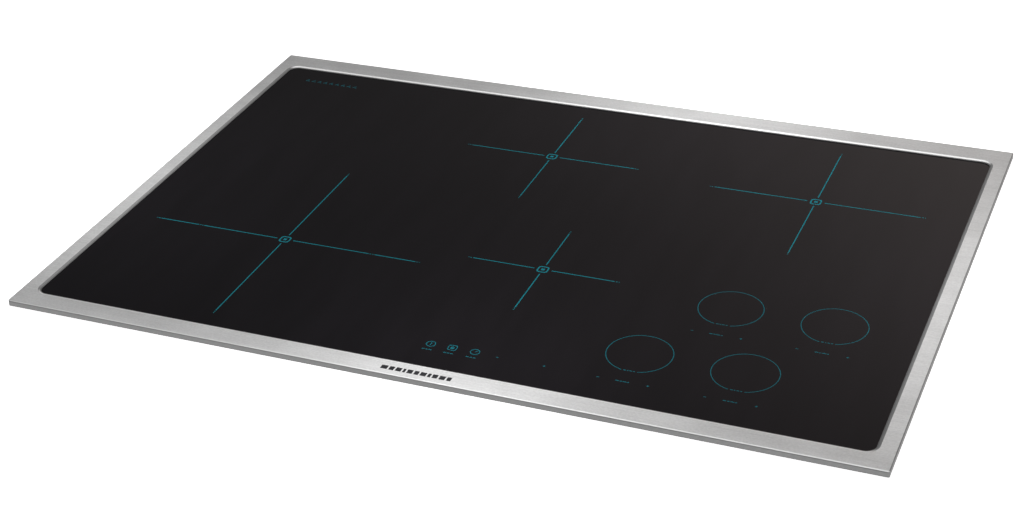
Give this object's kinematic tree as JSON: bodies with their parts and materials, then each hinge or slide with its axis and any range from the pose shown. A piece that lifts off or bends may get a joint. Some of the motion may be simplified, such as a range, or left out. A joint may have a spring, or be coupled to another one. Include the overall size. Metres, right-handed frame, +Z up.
{
  "type": "electric induction cooktop",
  "caption": "Drop-in electric induction cooktop: black glass in a brushed steel trim over a vented burner box with sprung coils, fans and hold-down clamps.",
  "frame": {"origin": "middle of the burner box's underside, below the middle of the trim", "axes": "+X to the cook's right along the width, +Y away from the cook, +Z up through the glass"},
  "size_m": [0.781, 0.546, 0.11],
  "materials": {
    "trim_steel": "brushed along the width, satin",
    "black_glass": "polished black glass-ceramic",
    "black_silicone": "satin",
    "gasket_foam": "matt closed-cell foam",
    "zinc_steel": "galvanised, spangled",
    "aluminium": "mill finish",
    "litz_copper": "varnished copper strands",
    "ferrite": "sintered, matt",
    "mica": "pressed mica sheet",
    "ceramic": "unglazed white ceramic",
    "spring_steel": "bright drawn wire",
    "black_plastic": "fine moulded texture",
    "grey_plastic": "moulded",
    "board_green": "solder-masked board"
  },
  "bodies": {
    "body": {"trim_frame": "trim_steel", "glass_top": "black_glass", "glass_seal": "black_silicone", "worktop_gasket": "gasket_foam", "burner_box": "zinc_steel", "coil_tray": "aluminium", "control_carrier": "black_plastic", "control_board": "board_green", "filter_board": "board_green", "filter_choke": "litz_copper", "filter_capacitor": "grey_plastic", "terminal_block": "black_plastic", "terminal_cover": "zinc_steel", "conduit_gland": "aluminium", "cover_screw_left": "zinc_steel", "cover_screw_right": "zinc_steel", "left_coil_spring": "spring_steel", "centre_rear_coil_spring": "spring_steel", "centre_front_coil_spring": "spring_steel", "right_rear_coil_spring": "spring_steel", "left_fan_housing": "black_plastic", "left_power_board": "board_green", "left_heatsink": "aluminium", "left_clamp_bracket": "zinc_steel", "left_bracket_screw_front": "zinc_steel", "left_bracket_screw_back": "zinc_steel", "right_fan_housing": "black_plastic", "right_power_board": "board_green", "right_heatsink": "aluminium", "right_clamp_bracket": "zinc_steel", "right_bracket_screw_front": "zinc_steel", "right_bracket_screw_back": "zinc_steel"},
    "left_coil": {"left_coil_base": "aluminium", "left_coil_ferrites": "ferrite", "left_coil_winding": "litz_copper", "left_outer_winding": "litz_copper", "left_mica_sheet": "mica", "left_sensor": "ceramic"},
    "centre_rear_coil": {"centre_rear_coil_base": "aluminium", "centre_rear_coil_ferrites": "ferrite", "centre_rear_coil_winding": "litz_copper", "centre_rear_mica_sheet": "mica", "centre_rear_sensor": "ceramic"},
    "centre_front_coil": {"centre_front_coil_base": "aluminium", "centre_front_coil_ferrites": "ferrite", "centre_front_coil_winding": "litz_copper", "centre_front_mica_sheet": "mica", "centre_front_sensor": "ceramic"},
    "right_rear_coil": {"right_rear_coil_base": "aluminium", "right_rear_coil_ferrites": "ferrite", "right_rear_coil_winding": "litz_copper", "right_rear_mica_sheet": "mica", "right_rear_sensor": "ceramic"},
    "left_impeller": {"left_fan_impeller": "grey_plastic"},
    "left_pad": {"left_clamp_pad": "black_plastic"},
    "left_screw": {"left_clamp_screw": "zinc_steel"},
    "right_impeller": {"right_fan_impeller": "grey_plastic"},
    "right_pad": {"right_clamp_pad": "black_plastic"},
    "right_screw": {"right_clamp_screw": "zinc_steel"}
  },
  "joints": [
    {"name": "left_coil_press", "type": "slide", "parent": "body", "child": "left_coil", "axis": [0, 0, 1], "range_m": [-0.003, 0], "stiffness_N_per_m": 5000, "springref_m": 0.009, "deforming": ["left_coil_spring"]},
    {"name": "centre_rear_coil_press", "type": "slide", "parent": "body", "child": "centre_rear_coil", "axis": [0, 0, 1], "range_m": [-0.003, 0], "stiffness_N_per_m": 2200, "springref_m": 0.009, "deforming": ["centre_rear_coil_spring"]},
    {"name": "centre_front_coil_press", "type": "slide", "parent": "body", "child": "centre_front_coil", "axis": [0, 0, 1], "range_m": [-0.003, 0], "stiffness_N_per_m": 1600, "springref_m": 0.009, "deforming": ["centre_front_coil_spring"]},
    {"name": "right_rear_coil_press", "type": "slide", "parent": "body", "child": "right_rear_coil", "axis": [0, 0, 1], "range_m": [-0.003, 0], "stiffness_N_per_m": 2800, "springref_m": 0.009, "deforming": ["right_rear_coil_spring"]},
    {"name": "left_fan_spin", "type": "hinge", "parent": "body", "child": "left_impeller", "pos_m": [-0.275, 0.165, 0.0145], "axis": [0, 0, 1], "continuous": true},
    {"name": "right_fan_spin", "type": "hinge", "parent": "body", "child": "right_impeller", "pos_m": [-0.035, 0.165, 0.0145], "axis": [0, 0, 1], "continuous": true},
    {"name": "left_pad_slide", "type": "slide", "parent": "body", "child": "left_pad", "axis": [0, 0, 1], "range_m": [-0.024, 0]},
    {"name": "left_clamp_turn", "type": "hinge", "parent": "left_pad", "child": "left_screw", "pos_m": [-0.378, 0, 0.03], "axis": [0, 0, 1], "range_deg": [-8640.1, 0]},
    {"name": "right_pad_slide", "type": "slide", "parent": "body", "child": "right_pad", "axis": [0, 0, 1], "range_m": [-0.024, 0]},
    {"name": "right_clamp_turn", "type": "hinge", "parent": "right_pad", "child": "right_screw", "pos_m": [0.378, 0, 0.03], "axis": [0, 0, 1], "range_deg": [-8640.1, 0]}
  ],
  "couplings": [
    {"joint": "left_clamp_turn", "follows": "left_pad_slide", "rad_per_m": 6283.2},
    {"joint": "right_clamp_turn", "follows": "right_pad_slide", "rad_per_m": 6283.2}
  ]
}
